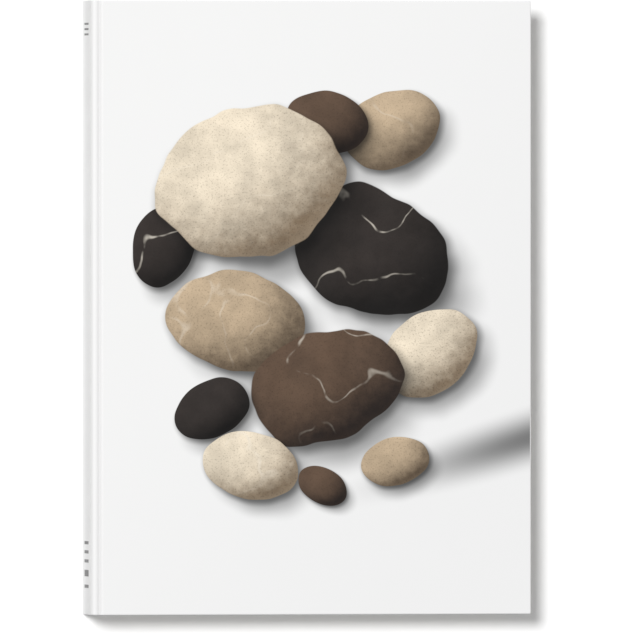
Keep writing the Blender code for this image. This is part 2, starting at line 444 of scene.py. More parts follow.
def pebble_group():
    """Shader group that lays one shaded pebble, with its shadows, over the ground it is given."""
    tree = bpy.data.node_groups.new("printed_pebble", "ShaderNodeTree")
    for label, kind in (
        ("Place", "Vector"), ("Ground", "Color"), ("Centre", "Vector"), ("Half Length", "Float"),
        ("Half Width", "Float"), ("Turn", "Float"), ("Light Tone", "Color"), ("Dark Tone", "Color"),
        ("Grain", "Float"), ("Vein", "Float"),
    ):
        tree.interface.new_socket(label, in_out="INPUT", socket_type="NodeSocket" + kind)
    tree.interface.new_socket("Colour", in_out="OUTPUT", socket_type="NodeSocketColor")
    w = Wiring(tree)
    given = w.node("NodeGroupInput").outputs
    place, centre, turn = given["Place"], given["Centre"], given["Turn"]
    flat = w.vector("MULTIPLY", place, (1, 1, 0))
    seed = w.scaled(centre, 0.37)

    wobble = w.noise(w.vector("ADD", w.scaled(flat, 0.028), seed), 1.0, 2.0, 0.45, colour=True)
    wobble = w.scaled(w.vector("SUBTRACT", wobble, (0.5, 0.5, 0.5)), w.times(given["Half Width"], 0.5))
    local = w.vector("SUBTRACT", w.vector("ADD", flat, w.vector("MULTIPLY", wobble, (1, 1, 0))), centre)
    size = w.combine(given["Half Length"], given["Half Width"], 1.0)

    def reach(offset):
        """Local place shifted by a share of the pebble's half width, told in its half sizes."""
        shift = w.scaled(offset, given["Half Width"])
        turned = w.turned(w.vector("SUBTRACT", local, shift), w.times(turn, -1.0))
        return w.vector("DIVIDE", turned, size)

    ball = reach((0, 0, 0))
    radius = w.vector("LENGTH", ball)
    inside = w.ramp(radius, 1.008, 0.992)
    height = w.math("SQRT", w.math("MAXIMUM", w.minus(1.0, w.times(radius, radius)), 0.0))

    pits = w.noise(w.vector("ADD", w.scaled(flat, 0.22), seed), 1.0, 6.0, 0.62, colour=True)
    pits = w.scaled(w.vector("SUBTRACT", pits, (0.5, 0.5, 0.5)), w.times(given["Grain"], 1.1))
    outward = w.turned(w.vector("MULTIPLY", ball, (1, 1, 0)), turn)
    rise = w.combine(0.0, 0.0, w.plus(w.times(height, 0.95), 0.12))
    normal = w.vector("NORMALIZE", w.vector("ADD", w.vector("ADD", outward, rise), pits))
    lit = w.ramp(w.vector("DOT_PRODUCT", normal, PICTURE_LIGHT), -0.35, 1.0)
    edge_glow = w.times(w.ramp(radius, 0.80, 1.0), 0.10)
    tone = w.mix(w.plus(lit, edge_glow), given["Dark Tone"], given["Light Tone"])

    patch = w.noise(w.vector("ADD", w.scaled(flat, 0.06), seed), 1.0, 3.0, 0.6)
    tone = w.scaled(tone, w.ramp(patch, 0.25, 0.75, 0.80, 1.12))
    speck = w.noise(w.scaled(flat, 1.1), 1.0, 3.0, 0.7)
    speck = w.times(w.ramp(speck, 0.52, 0.68), w.times(given["Grain"], 0.55))
    tone = w.scaled(tone, w.minus(1.0, speck))
    ridge = w.noise(w.vector("ADD", w.scaled(flat, 0.026), w.scaled(seed, 1.7)), 1.0, 3.0, 0.30)
    ridge = w.math("ABSOLUTE", w.minus(ridge, 0.5))
    vein = w.times(w.ramp(ridge, 0.010, 0.001), w.ramp(patch, 0.40, 0.60))
    vein = w.times(vein, w.times(given["Vein"], lit))
    tone = w.mix(vein, tone, VEIN_TONE)

    ground = given["Ground"]
    for shift, outer, inner in PEBBLE_SHADOWS:
        shadow = w.ramp(w.vector("LENGTH", reach(shift)), outer, inner, 0.0, PEBBLE_SHADOW_DEPTH)
        ground = w.scaled(ground, w.minus(1.0, shadow))
    w.feed(w.node("NodeGroupOutput").inputs[0], w.mix(inside, ground, tone))
    return tree


def lay_pebbles(w, group, place, ground, pebbles):
    """Pebbles laid one after another over a ground colour."""
    tones = sizes_of("book_pebbles")
    for inset, height, half_length, half_width, turn, tone, grain, vein in pebbles:
        ground = w.made("ShaderNodeGroup", {
            "Place": place, "Ground": ground, "Centre": (inset, height, 0),
            "Half Length": half_length, "Half Width": half_width, "Turn": math.radians(turn),
            "Light Tone": getattr(tones, tone + "_light"), "Dark Tone": getattr(tones, tone + "_dark"),
            "Grain": grain, "Vein": vein,
        }, node_tree=group)
    return ground


def picture_print(f, ground):
    """Photograph-like picture of pebbles, with one long soft shadow that runs off the fore edge."""
    inset, height, half_length, half_width, turn = LONG_SHADOW
    bar = f.turned(f.vector("SUBTRACT", f.place, (inset, height, 0)), math.radians(turn))
    bar = f.vector("LENGTH", f.vector("MULTIPLY", bar, (1 / half_length, 1 / half_width, 0)))
    backdrop = f.scaled(ground, f.ramp(bar, 1.0, 0.05, 1.0, 0.22))
    return lay_pebbles(f, pebble_group(), f.place, backdrop, PEBBLES)


def rule_print(f, ground, ink):
    """Plain rules across the spine near the head and the tail."""
    inset, height, rise = f.separate(f.place)[0:3]
    from_middle = f.math("ABSOLUTE", f.minus(rise, THICK_MM / 2))
    on_rule = None
    for rule_height, half in HEAD_RULES + TAIL_RULES:
        off = f.math("ABSOLUTE", f.minus(height, rule_height))
        here = f.ramp(off, half + RULE_BLUR_MM, half - RULE_BLUR_MM)
        on_rule = here if on_rule is None else f.math("MAXIMUM", on_rule, here)
    length = f.ramp(from_middle, RULE_HALF_LENGTH_MM + RULE_BLUR_MM, RULE_HALF_LENGTH_MM)
    on_rule = f.times(on_rule, length)
    on_rule = f.times(on_rule, f.math("LESS_THAN", inset, 0.1))
    return f.mix(on_rule, ground, ink)


def printed_sheet_finish(name, with_picture):
    """Laminated printed paper over board, with the front's picture or with the spine's rules."""
    case = sizes_of("book_case")
    f = Finish(name, on_bent_piece=True)
    place = f.place
    inset, height, rise = f.separate(place)[0:3]

    # Painted shade: the ground grows darker from the spine and head towards the fore edge and tail
    across = f.times(inset, 1 / WIDTH_MM)
    down = f.plus(f.times(height, -0.5 / HALF_HEIGHT_MM), 0.5)
    fall = f.times(f.plus(across, down), 0.5)
    ground = f.mix(f.ramp(fall, 0.05, 0.95), case.paper, case.paper_shade)
    # Painted shade: the spine's ground is painted darker towards the front cover, fading out over its
    # rounded edge
    spine = f.ramp(rise, *SPINE_PAINTED_SHADE_MM, 0.0, 1 - case.spine_painted_shade)
    ground = f.scaled(ground, f.minus(1.0, f.times(spine, f.ramp(inset, *SPINE_EDGE_PAINTED_SHADE_MM))))
    # Painted shade: the sheet is painted darker in the grooves beside the spine
    crease_shade_mask = f.times(*(f.ramp(inset, *insets) for insets in CREASE_PAINTED_SHADE_MM))
    ground = f.scaled(ground, f.minus(1.0, f.times(crease_shade_mask, case.crease_painted_shade)))
    colour = picture_print(f, ground) if with_picture else rule_print(f, ground, case.rule_ink)

    fleck = f.noise(place, 2.4, 3.0, 0.6)
    colour = f.mottled(colour, fleck, 0.988, 1.004)
    haze = f.noise(place, 0.045, 3.0, 0.55)
    f.set(Base_Color=colour, Roughness=f.ramp(haze, 0.3, 0.7, 0.36, 0.44), Specular_IOR_Level=0.18)
    board_grain = f.noise(place, 0.35, 3.0, 0.55)
    film = f.noise(place, 5.0, 2.0, 0.5)
    f.bump((board_grain, 0.012), (film, 0.0035))
    return f.material


def case_rows(spine_middle, fore):
    """Stations across half the case, from the spine's middle to the last flat one at the fore edge.

    Each is (outer inset, outer depth, inner inset, inner depth). The outer line is the side that
    shows, and the inner line is where the folded-in sheet lies at the head and the tail.
    """
    inner = SPINE_TOP_MM
    rows = [(0, spine_middle, inner, spine_middle), (0, 9.0, inner, 9.0), (0, 4.0, inner, 4.6)]
    across, down = SPINE_ROUND_MM
    rows += [(0, SHOULDER_MM + down + 0.6, inner, 3.5)]
    for step in range(SPINE_ROUND_STEPS + 1):
        angle = math.pi / 2 * step / SPINE_ROUND_STEPS
        rows.append((
            across * (1 - math.cos(angle)), SHOULDER_MM + down * (1 - math.sin(angle)),
            inner, 3.1 - 0.7 * step / SPINE_ROUND_STEPS,
        ))
    groove = (
        (across + 0.02, SHOULDER_MM, inner, 2.34),
        (2.75, SHOULDER_MM + 0.02, 2.90, 2.06),
        (3.15, SHOULDER_MM + 0.12, 3.20, 2.10),
        (3.55, SHOULDER_MM + 0.30, 3.58, 2.20),
        (3.90, SHOULDER_MM + 0.47, 3.94, 2.32),
        (4.12, SHOULDER_MM + 0.51, 4.20, 2.42),
        (4.30, SHOULDER_MM + 0.38, 4.42, 2.49),
        (4.55, SHOULDER_MM + 0.13, 4.68, 2.56),
        (4.80, SHOULDER_MM - 0.12, 4.92, 2.63),
        (5.05, SHOULDER_MM - 0.37, 5.14, 2.71),
        (5.27, SHOULDER_MM - 0.60, 5.34, 2.79),
        (5.46, 0.40, 5.50, 2.86),
        (5.63, 0.21, 5.66, 2.89),
        (5.76, 0.07, 5.76, COVER_DEPTH_MM),
        (5.84, 0.01, 5.84, COVER_DEPTH_MM),
        (5.94, 0.00, 5.94, COVER_DEPTH_MM),
        (6.30, 0.00, 6.30, COVER_DEPTH_MM),
    )
    rows += [(outer, max(depth, 0.0), *rest) for outer, depth, *rest in smooth_line(groove, 3)]
    flats = (8.0, 14.0, 45.0, 90.0, 135.0, 175.0, fore - 16.0, fore - 8.0, fore)
    rows += [(inset, 0.0, inset, COVER_DEPTH_MM) for inset in flats]
    return rows


def smooth_line(points, steps):
    """Smooth curve through given points, with a few steps to each stretch."""
    padded = [points[0], *points, points[-1]]
    line = []
    for before, start, end, after in zip(padded, padded[1:], padded[2:], padded[3:]):
        for step in range(steps):
            t = step / steps
            line.append(tuple(
                0.5 * (2 * b + (c - a) * t + (2 * a - 5 * b + 4 * c - d) * t * t
                       + (3 * b - a - 3 * c + d) * t ** 3)
                for a, b, c, d in zip(before, start, end, after)
            ))
    line.append(tuple(points[-1]))
    return line


class CaseSheet:
    """Half of the covering sheet: one cover, one joint and half the spine, turned in over the boards."""

    SUPPORT_MM = 1.15  # flat strip that keeps the edge's rounding narrow
    LINES = 61
    ROUND_STEPS = 4
    CORNER_STEPS = 5
    GROOVE_MM = (4.0, 1.5)  # inset of the groove's middle, and how far from it the depth wanders

    def __init__(self, side):
        self.side = side
        self.sizes = sizes_of("book_case")
        self.seed = 4.0 if side == "front" else 11.0
        self.bm = bmesh.new()
        self.rows = case_rows(THICK_MM / 2, WIDTH_MM - self.SUPPORT_MM)
        reach = HALF_HEIGHT_MM - self.SUPPORT_MM
        self.lines = [reach * (2 * i / (self.LINES - 1) - 1) for i in range(self.LINES)]

    def vert(self, inset, height, depth):
        """Point of the mesh. In the groove its depth wanders a little along the spine."""
        middle, reach = self.GROOVE_MM
        in_groove = max(0.0, 1 - abs(inset - middle) / reach) if depth > SHOULDER_MM * 0.6 else 0.0
        drift = noise.noise(Vector((height * 0.03, self.seed, 0))) + 0.4 * noise.noise(
            Vector((height * 0.11, self.seed, 5)))
        depth += self.sizes.groove_drift * in_groove * drift
        z = depth if self.side == "back" else THICK_MM - depth
        return self.bm.verts.new((LEFT + inset * MM, height * MM, z * MM))

    def wrap_steps(self, thick):
        """(inset from the edge, way through) of the steps over one edge and in under the board."""
        radius = min(self.sizes.edge_round, 0.42 * thick)
        angles = [math.pi / 2 * k / self.ROUND_STEPS for k in range(self.ROUND_STEPS + 1)]
        over = [(radius * (1 - math.sin(a)), radius * (1 - math.cos(a))) for a in angles]
        under = [(inset, thick - way) for inset, way in reversed(over)]
        ends = [(inset, thick) for inset in (self.SUPPORT_MM, self.sizes.turn_in / 2, self.sizes.turn_in)]
        return [(self.SUPPORT_MM, 0.0), *over, *under, *ends]

    def side_plan(self, sign):
        """Plan place for an inset from the tail's (-1) or the head's (1) edge. The row gives the rest."""
        return lambda inset: (None, sign * (HALF_HEIGHT_MM - inset))

    def fore_plan(self, height):
        def plan(inset):
            limit = HALF_HEIGHT_MM - max(inset, self.SUPPORT_MM)
            return WIDTH_MM - inset, max(-limit, min(limit, height))
        return plan

    def corner_plan(self, angle, sign):
        def plan(inset):
            corner = self.sizes.corner_round
            reach = corner - inset
            if reach <= 0:
                return WIDTH_MM - inset, sign * (HALF_HEIGHT_MM - inset)
            return (WIDTH_MM - corner + reach * math.sin(angle),
                    sign * (HALF_HEIGHT_MM - corner + reach * math.cos(angle)))
        return plan

    def edge_stations(self):
        """Every place round the tail, the fore edge and the head, as (row, plan)."""
        last = self.rows[-1]
        turn = [math.pi / 2 * k / self.CORNER_STEPS for k in range(self.CORNER_STEPS + 1)]
        stations = [(row, self.side_plan(-1)) for row in self.rows]
        stations += [(last, self.corner_plan(angle, -1)) for angle in turn]
        stations += [(last, self.fore_plan(height)) for height in self.lines]
        stations += [(last, self.corner_plan(angle, 1)) for angle in reversed(turn)]
        stations += [(row, self.side_plan(1)) for row in reversed(self.rows)]
        return stations

    def column(self, row, plan):
        """Points over one edge, from the outer face round to the end of the turned-in strip."""
        outer, outer_depth, inner, inner_depth = row
        thick = math.hypot(inner - outer, inner_depth - outer_depth)
        points = []
        for inset, way in self.wrap_steps(thick):
            share = way / thick
            x, height = plan(inset)
            if x is None:
                x = min(outer + (inner - outer) * share, WIDTH_MM - inset)
            points.append(self.vert(x, height, outer_depth + (inner_depth - outer_depth) * share))
        return points

    def skin(self, columns):
        for first, second in zip(columns, columns[1:]):
            for a, b, c, d in zip(first, second, second[1:], first[1:]):
                self.bm.faces.new((a, b, c, d))

    def build(self):
        self.skin([[self.vert(row[0], height, row[1]) for height in self.lines] for row in self.rows])
        self.skin([self.column(row, plan) for row, plan in self.edge_stations()])
        bmesh.ops.remove_doubles(self.bm, verts=self.bm.verts, dist=0.002 * MM)
        bmesh.ops.recalc_face_normals(self.bm, faces=self.bm.faces)
        self.bm.faces.ensure_lookup_table()
        widest = max(self.bm.faces, key=lambda face: face.calc_area())
        upwards = self.side == "front"
        on_outside = abs(widest.calc_center_median().z / MM - (THICK_MM if upwards else 0)) < 0.1
        if ((widest.normal.z > 0) == upwards) != on_outside:
            bmesh.ops.reverse_faces(self.bm, faces=self.bm.faces)
        name = self.side + "_case_sheet"
        mesh = bpy.data.meshes.new(name)
        self.bm.to_mesh(mesh)
        self.bm.free()
        obj = new_object(name, mesh)
        wall = obj.modifiers.new("sheet", "SOLIDIFY")
        wall.thickness = self.sizes.sheet_thick * MM
        wall.offset = -1
        wall.use_even_offset = True
        settle(obj)
        smooth(obj.data, 50)
        remember_place(obj)
        return obj


def print_front(sheet, finish):
    """Put the picture on the flat outer face of the front cover."""
    sheet.data.materials.append(finish)
    edge = LEFT + (COVER_EDGE_MM + PICTURE_START_MM) * MM
    for polygon in sheet.data.polygons:
        outside = polygon.center.z > (THICK_MM - 0.03) * MM and polygon.normal.z > 0.99
        if outside and polygon.center.x > edge:
            polygon.material_index = 1


class BOOK_OT_case_sheet(bpy.types.Operator):
    """Make the two halves of the printed covering sheet, each from one cover round its joint to the
    spine's middle
    """

    bl_idname = "book.case_sheet"
    bl_label = "Covering Sheet"

    def execute(self, context):
        plain = printed_sheet_finish("printed_sheet_finish", False)
        pictured = printed_sheet_finish("front_picture_finish", True)
        for side in COVERS:
            sheet = CaseSheet(side).build()
            sheet.data.materials.append(plain)
            if side == "front":
                print_front(sheet, pictured)
                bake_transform(sheet)
                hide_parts("front_wrap", "front_joint", "spine_wrap")
            else:
                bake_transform(sheet)
                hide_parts("back_wrap", "back_joint")
        return {"FINISHED"}


# Pages

# Pebbles on the plate that the open book shows, as on the cover
PLATE_PEBBLES = (
    (132, 34, 30, 21, 24, "slate", 0.3, 0.6),
    (92, 6, 43, 31, -14, "cream", 0.6, 0.2),
    (138, -28, 26, 18, 10, "tan", 0.6, 0.3),
    (96, -46, 18, 13, -24, "umber", 0.4, 0.0),
)
PLATE_GROUND = (0.70, 0.69, 0.66)
FACING_GROUND = (0.36, 0.33, 0.29)
BLEED_TONE = (0.30, 0.25, 0.20)  # of the pictures that run off some leaves
TINT_PITCH_MM = 0.165  # height of one tint on the cut edges, about one leaf
EDGE_TINT_MM = (3.9, 3.3)  # insets from the covers' edges where that tint starts and is full


def page_finish():
    """Uncoated cut paper. Its cut edges show single leaves, some tinted by pictures that run off them."""
    pages = sizes_of("book_pages")
    f = Finish("page_finish", on_bent_piece=True)
    inset, height, rise = f.separate(f.place)[0:3]
    leaf = f.math("FLOOR", f.times(rise, 1 / TINT_PITCH_MM))
    tint = f.node("ShaderNodeTexWhiteNoise", {"W": leaf}, noise_dimensions="1D").outputs["Value"]
    along = f.noise(f.combine(f.times(height, 0.02), f.times(leaf, 3.1), 2.0), 1.0, 2.0)
    near_fore = f.ramp(inset, *(WIDTH_MM - edge for edge in EDGE_TINT_MM))
    near_ends = f.ramp(f.math("ABSOLUTE", height), *(HALF_HEIGHT_MM - edge for edge in EDGE_TINT_MM))
    bleed = f.times(f.ramp(tint, 0.70, 0.78), f.ramp(along, 0.45, 0.62, 0.0, 0.38))
    bleed = f.times(bleed, f.math("MAXIMUM", near_fore, near_ends))
    colour = f.mix(bleed, pages.paper, BLEED_TONE)
    colour = f.scaled(colour, f.ramp(tint, 0.0, 1.0, 0.95, 1.03))
    pulp = f.noise(f.place, 3.0, 4.0, 0.65)
    colour = f.mottled(colour, pulp, 0.975, 1.01)
    f.set(Base_Color=colour, Roughness=f.ramp(pulp, 0.3, 0.7, 0.74, 0.84), Specular_IOR_Level=0.3)
    f.bump((pulp, 0.006))
    return f.material


def plate_finish(name, ground, pebbles):
    """Printed picture on one page."""
    f = Finish(name, on_bent_piece=True)
    height = f.separate(f.place)[1]
    shade = f.ramp(height, HALF_HEIGHT_MM, -HALF_HEIGHT_MM, 1.0, 0.86)
    colour = f.scaled(ground, shade)
    if pebbles:
        colour = lay_pebbles(f, bpy.data.node_groups["printed_pebble"], f.place, colour, pebbles)
    pulp = f.noise(f.place, 3.0, 4.0, 0.65)
    colour = f.mottled(colour, pulp, 0.97, 1.01)
    f.set(Base_Color=colour, Roughness=f.ramp(pulp, 0.3, 0.7, 0.5, 0.6), Specular_IOR_Level=0.35)
    f.bump((pulp, 0.005))
    return f.material


def section_tree():
    """Folded sheets in one another, each one closed strip from fore edge round the fold and back."""
    w, given = geometry_tree("folded_sheets", {
        "Fold": "Float", "Width": "Float", "Middle": "Float", "Height": "Float", "Thickness": "Float",
        "Leaf": "Float", "Trim": "Float", "Sheets": "Int", "Seed": "Int", "Paper": "Material",
    })
    points = 91
    round_share = 0.16  # of the points, laid round the fold
    spread = 2.5  # power that sets the points farther apart towards the fore edge
    line = w.made("GeometryNodeCurvePrimitiveLine", {"Start": (0, 0, 0), "End": (1, 0, 0)})
    line = w.made("GeometryNodeResampleCurve", {"Curve": line, "Count": points})
    copies = w.node(
        "GeometryNodeDuplicateElements", {"Geometry": line, "Amount": given["Sheets"]}, domain="SPLINE"
    ).outputs
    number = copies["Duplicate Index"]
    way = w.node("GeometryNodeSplineParameter").outputs["Factor"]
    way = w.minus(w.times(way, 2.0), 1.0)
    side = w.math("SIGN", way)
    way = w.math("ABSOLUTE", way)
    angle = w.math("MINIMUM", w.times(way, 1 / round_share), 1.0)
    angle = w.times(w.times(angle, math.pi / 2), side)
    leg = w.times(w.minus(way, round_share), 1 / (1 - round_share))
    leg = w.math("POWER", w.math("MAXIMUM", leg, 0.0), spread)

    half = w.times(given["Thickness"], 0.5)
    pitch = w.math("DIVIDE", half, given["Sheets"])
    radius = w.minus(half, w.times(w.plus(number, 0.5), pitch))
    leaf = w.plus(w.times(number, 2.0), side)
    short = w.node(
        "FunctionNodeRandomValue", {2: 0.0, 3: given["Trim"], 7: leaf, 8: given["Seed"]}, data_type="FLOAT"
    ).outputs[1]
    length = w.minus(w.minus(given["Width"], half), short)
    x = w.minus(half, w.times(radius, w.math("COSINE", angle)))
    x = w.plus(w.plus(x, given["Fold"]), w.times(leg, length))
    z = w.plus(w.times(radius, w.math("SINE", angle)), given["Middle"])
    moved = {"Geometry": copies["Geometry"], "Position": w.combine(x, 0.0, z)}
    bent = w.made("GeometryNodeSetPosition", moved)
    strip = w.made(
        "GeometryNodeCurvePrimitiveQuadrilateral", {"Width": given["Height"], "Height": given["Leaf"]}
    )
    swept = {"Curve": bent, "Profile Curve": strip, "Fill Caps": True}
    sheets = w.made("GeometryNodeCurveToMesh", swept)
    return end_tree(w, with_material(w, sheets, given["Paper"]))


def print_plate(section, side, finish):
    """Print the outermost face of a section: its top (1) or its bottom (-1)."""
    section.data.materials.append(finish)
    heights = point_array(section.data)[:, 2]
    level = heights.max() if side > 0 else heights.min()
    for polygon in section.data.polygons:
        flat = abs(polygon.center.z - level) < 0.005 * MM
        if flat and polygon.normal.z * side > 0.9:
            polygon.material_index = 1


class BOOK_OT_sections(bpy.types.Operator):
    """Make the sewn sections of folded sheets"""

    bl_idname = "book.sections"
    bl_label = "Sections"

    def execute(self, context):
        pages = sizes_of("book_pages")
        tree = section_tree()
        paper = page_finish()
        opening = len(SECTIONS) // 2
        facing = {
            SECTIONS[opening - 1]: (1, plate_finish("plate_finish", PLATE_GROUND, PLATE_PEBBLES)),
            SECTIONS[opening]: (-1, plate_finish("facing_plate_finish", FACING_GROUND, ())),
        }
        for count, node in enumerate(SECTIONS):
            low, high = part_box(node)
            middle = (low.z + high.z) / 2
            obj = run_tree(node + "_sheets", tree, {
                "Fold": low.x, "Width": high.x - low.x, "Middle": middle,
                "Height": high.y - low.y, "Thickness": high.z - low.z, "Leaf": pages.leaf_thick * MM,
                "Trim": pages.trim_drift * MM, "Sheets": pages.sheets, "Seed": count, "Paper": paper,
            })
            smooth(obj.data, 40)
            remember_place(obj)
            if node in facing:
                print_plate(obj, *facing[node])
            lower = count < opening
            if lower:
                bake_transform(obj)
            else:
                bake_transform(obj)
            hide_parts(node)
        return {"FINISHED"}


# Boards, endpapers and lining

SPINE_BOARD_ROUND_MM = 1.25
GAUZE_PITCH_MM = 0.9
FIBRE_TONE = (0.34, 0.25, 0.17)
BOARD_TONES = ((0.19, 0.17, 0.145), (0.33, 0.31, 0.27))
GAUZE_TONES = ((0.36, 0.31, 0.22), (0.66, 0.63, 0.54))


def endpaper_finish():
    """Deep umber laid paper with loose fibres."""
    f = Finish("endpaper_finish")
    colour = sizes_of("book_pages").endpaper
    fibre = f.noise(f.vector("MULTIPLY", f.place, (0.5, 2.4, 2.4)), 1.0, 4.0, 0.7)
    mottle = f.noise(f.place, 0.09, 3.0, 0.6)
    tone = f.mix(f.ramp(fibre, 0.58, 0.75), colour, FIBRE_TONE)
    tone = f.mottled(tone, mottle, 0.9, 1.08)
    f.set(Base_Color=tone, Roughness=f.ramp(fibre, 0.2, 0.8, 0.72, 0.86), Specular_IOR_Level=0.3)
    f.bump((fibre, 0.01))
    return f.material


def board_finish():
    """Pressed greyboard with flecks of its waste paper."""
    f = Finish("board_finish")
    fleck = f.noise(f.place, 1.3, 4.0, 0.7)
    cloud = f.noise(f.place, 0.12, 2.0)
    tone = f.mix(f.ramp(fleck, 0.35, 0.7), *BOARD_TONES)
    tone = f.mottled(tone, cloud, 0.92, 1.05)
    f.set(Base_Color=tone, Roughness=0.92, Specular_IOR_Level=0.2)
    f.bump((fleck, 0.03))
    return f.material


def lining_finish():
    """Open woven gauze under glue."""
    f = Finish("lining_finish")
    height, rise = f.separate(f.place)[1:3]
    warp = f.math("SINE", f.times(height, 2 * math.pi / GAUZE_PITCH_MM))
    weft = f.math("SINE", f.times(rise, 2 * math.pi / GAUZE_PITCH_MM))
    weave = f.math("MAXIMUM", warp, weft)
    glue = f.noise(f.place, 0.3, 3.0)
    tone = f.mix(f.ramp(weave, 0.1, 0.9), *GAUZE_TONES)
    f.set(Base_Color=tone, Roughness=f.ramp(glue, 0.3, 0.7, 0.6, 0.95), Specular_IOR_Level=0.3)
    f.bump((weave, 0.08))
    return f.material


def rounded_spine_board(finish):
    """Spine board whose two outer long edges are rounded to fit under the sheet."""
    low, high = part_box("spine_board")
    bm = bmesh.new()
    bmesh.ops.create_cube(bm, size=1)
    bmesh.ops.scale(bm, verts=bm.verts, vec=high - low)
    bmesh.ops.translate(bm, verts=bm.verts, vec=(low + high) / 2)
    outer = [
        edge for edge in bm.edges
        if all(abs(vert.co.x - low.x) < 0.01 * MM for vert in edge.verts)
        and abs(edge.verts[0].co.y - edge.verts[1].co.y) > MM
    ]
    bmesh.ops.bevel(
        bm, geom=outer, offset=SPINE_BOARD_ROUND_MM * MM, segments=5, profile=0.5, affect="EDGES"
    )
    mesh = bpy.data.meshes.new("spine_board_round")
    bm.to_mesh(mesh)
    bm.free()
    smooth(mesh, 40)
    mesh.materials.append(finish)
    return new_object("spine_board_round", mesh)


class BOOK_OT_flat_parts(bpy.types.Operator):
    """Finish the boards, the endpapers and the lining, and round the spine board's outer edges"""

    bl_idname = "book.flat_parts"
    bl_label = "Boards, Endpapers and Lining"

    def execute(self, context):
        boards, papers, gauze = board_finish(), endpaper_finish(), lining_finish()
        for node, finish, slot in (
            ("back_board", boards, "board"), ("front_board", boards, "board"),
            ("back_endpaper", papers, "endpaper"), ("front_endpaper", papers, "endpaper"),
            ("spine_lining", gauze, "lining"),
        ):
            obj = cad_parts[node]
            obj.data.materials.clear()
            obj.data.materials.append(finish)
        put_on_spine(rounded_spine_board(boards), "spine_board")
        return {"FINISHED"}


# Bands and sewing

TAPE_THICK_MM = 0.35
TAPE_GAP_MM = 0.2  # between the pages' ends and the tape
WINDING_LEAN = 0.16  # of each turn of thread, in radians
LINK_LEAN = 84  # degrees
LINK_REACH = 0.62  # half length of a link, as a share of the pitch


def thread_finish(name, colour, pitch):
    """Twisted thread with loose fibre."""
    f = Finish(name, on_bent_piece=True)
    x, y, z = f.separate(f.place)[0:3]
    lay = f.plus(f.plus(x, y), z)
    twist = f.math("SINE", f.times(lay, 2 * math.pi / pitch))
    fuzz = f.noise(f.place, 7.0, 3.0, 0.7)
    tone = f.scaled(colour, f.ramp(twist, -1, 1, 0.84, 1.05))
    tone = f.mottled(tone, fuzz, 0.86, 1.1)
    f.set(Base_Color=tone, Roughness=0.78, Sheen_Weight=0.25, Sheen_Roughness=0.5, Specular_IOR_Level=0.3)
    f.bump((twist, 0.03), (fuzz, 0.02))
    return f.material


def band_tree():
    """Thread wound round a core, in turns of two colours by turns, and the woven tape behind it."""
    w, given = geometry_tree("wound_band", {
        "Start": "Vector", "Length": "Float", "Turns": "Int", "Core": "Float", "Thread": "Float",
        "Tape Size": "Vector", "Tape Middle": "Vector", "Light": "Material", "Dark": "Material",
    })
    step = w.combine(0.0, 0.0, w.math("DIVIDE", given["Length"], given["Turns"]))
    spots = w.made("GeometryNodeMeshLine", {
        "Count": given["Turns"],
        "Start Location": w.vector("ADD", given["Start"], w.scaled(step, 0.5)),
        "Offset": step,
    })
    ring = w.made("GeometryNodeCurvePrimitiveCircle", {
        "Resolution": 16, "Radius": w.minus(given["Core"], given["Thread"])
    })
    ring = thread_along(w, ring, given["Thread"])
    pair = w.math("FLOOR", w.math("DIVIDE", w.made("GeometryNodeInputIndex"), 2.0))
    odd = w.math("MODULO", pair, 2.0)
    parts = []
    for chosen, thread in ((odd, "Dark"), (w.minus(1.0, odd), "Light")):
        turns = w.made("GeometryNodeInstanceOnPoints", {
            "Points": spots, "Selection": chosen, "Instance": ring, "Rotation": (WINDING_LEAN, 0.0, 0.0)
        })
        parts.append(with_material(w, turns, given[thread]))
    tape = w.made("GeometryNodeMeshCube", {"Size": given["Tape Size"]})
    tape = w.made("GeometryNodeTransform", {"Geometry": tape, "Translation": given["Tape Middle"]})
    parts.append(with_material(w, tape, given["Light"]))
    join = w.node("GeometryNodeJoinGeometry")
    for part in parts:
        w.tree.links.new(part, join.inputs[0])
    return end_tree(w, join.outputs[0])


class BOOK_OT_bands(bpy.types.Operator):
    """Wind the headband and the tailband in two colours of thread"""

    bl_idname = "book.bands"
    bl_label = "Headband and Tailband"

    def execute(self, context):
        trim = sizes_of("book_trim")
        tree = band_tree()
        light = thread_finish("band_light_finish", trim.band_light, 0.3)
        dark = thread_finish("band_dark_finish", trim.band_dark, 0.3)
        page_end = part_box(SECTIONS[0])[1].y
        for node, sign in (("headband", 1), ("tailband", -1)):
            low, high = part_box(node)
            outer, inner = (high.y, low.y) if sign > 0 else (low.y, high.y)
            core = (high.x - low.x) / 2
            middle = Vector(((low.x + high.x) / 2, outer - sign * core, 0))
            tape_end = page_end * sign + sign * TAPE_GAP_MM * MM
            tape = Vector((TAPE_THICK_MM * MM, abs(tape_end - inner), high.z - low.z))
            obj = run_tree(node + "_winding", tree, {
                "Start": Vector((middle.x, middle.y, low.z + trim.wind_thread * MM)),
                "Length": high.z - low.z - 2 * trim.wind_thread * MM,
                "Turns": round((high.z - low.z) / MM / trim.wind_pitch),
                "Core": core, "Thread": trim.wind_thread * MM, "Tape Size": tape,
                "Tape Middle": Vector((low.x + tape.x / 2, (tape_end + inner) / 2, (low.z + high.z) / 2)),
                "Light": light, "Dark": dark,
            })
            smooth(obj.data, 70)
            remember_place(obj)
            put_on_spine(obj, node)
        return {"FINISHED"}


